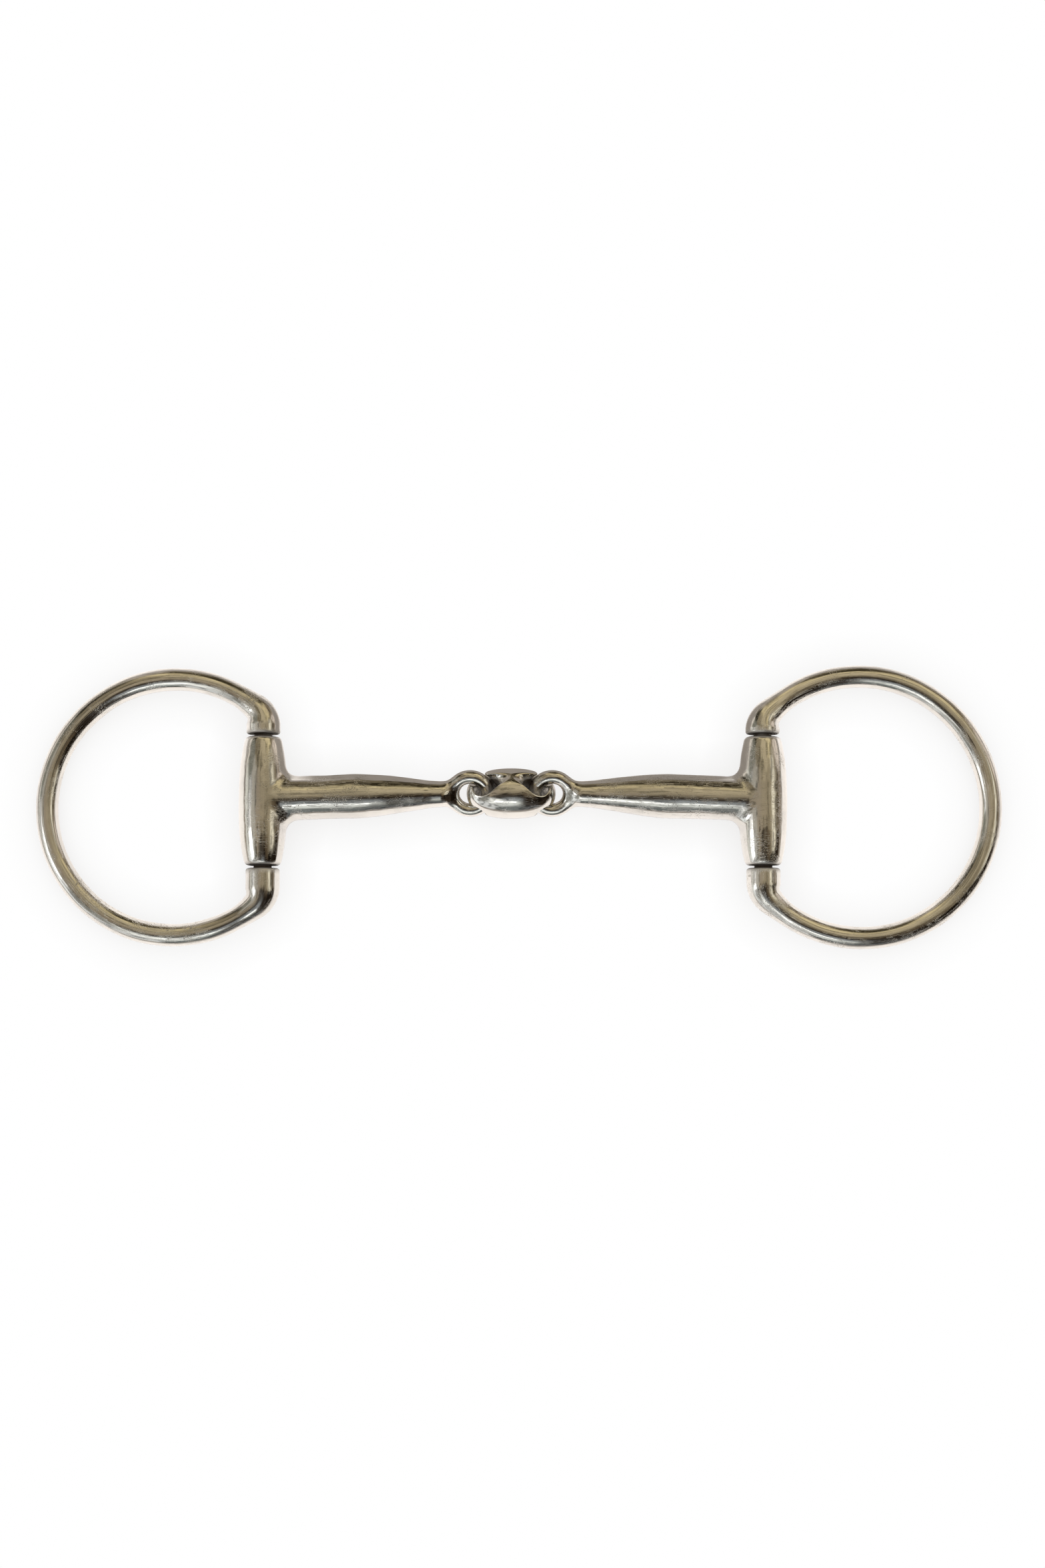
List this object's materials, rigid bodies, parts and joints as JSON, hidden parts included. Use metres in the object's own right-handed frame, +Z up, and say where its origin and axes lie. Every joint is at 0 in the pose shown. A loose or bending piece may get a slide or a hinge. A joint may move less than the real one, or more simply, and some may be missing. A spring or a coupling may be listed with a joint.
{
  "type": "snaffle bit",
  "caption": "Horse's snaffle bit: two tapered cannons joined by an olive-shaped lozenge link, with barrel cheeks and round rings that swing.",
  "frame": {"origin": "under the middle of the bit, on the plane that it lies on, halfway between the rings and level with their centres", "axes": "+X along the mouthpiece towards the right ring, +Y along the barrels, +Z up out of the plane that the bit lies on"},
  "size_m": [0.2678, 0.0788, 0.014],
  "materials": {
    "lozenge": "polished cast stainless steel with fine wear scratches",
    "left_cannon": "polished cast stainless steel with fine wear scratches",
    "right_cannon": "polished cast stainless steel with fine wear scratches",
    "left_ring": "polished cast stainless steel with fine wear scratches",
    "right_ring": "polished cast stainless steel with fine wear scratches"
  },
  "bodies": {
    "lozenge": {"lozenge": "lozenge"},
    "left_cannon": {"left_cannon": "left_cannon"},
    "right_cannon": {"right_cannon": "right_cannon"},
    "left_ring": {"left_ring": "left_ring"},
    "right_ring": {"right_ring": "right_ring"}
  },
  "joints": [
    {"name": "left_link", "type": "hinge", "parent": "lozenge", "child": "left_cannon", "pos_m": [-0.00864, 0.00355, 0.007], "axis": [0, 0.9135, 0.4067], "range_deg": [-45, 45]},
    {"name": "right_link", "type": "hinge", "parent": "lozenge", "child": "right_cannon", "pos_m": [0.00436, 0.00355, 0.007], "axis": [0, 0.9135, 0.4067], "range_deg": [-45, 45]},
    {"name": "left_ring_pivot", "type": "hinge", "parent": "left_cannon", "child": "left_ring", "pos_m": [-0.07084, 0.00145, 0.0067], "axis": [0, 1, 0], "range_deg": [-90, 90]},
    {"name": "right_ring_pivot", "type": "hinge", "parent": "right_cannon", "child": "right_ring", "pos_m": [0.06756, 0.00145, 0.0067], "axis": [0, 1, 0], "range_deg": [-90, 90]}
  ]
}
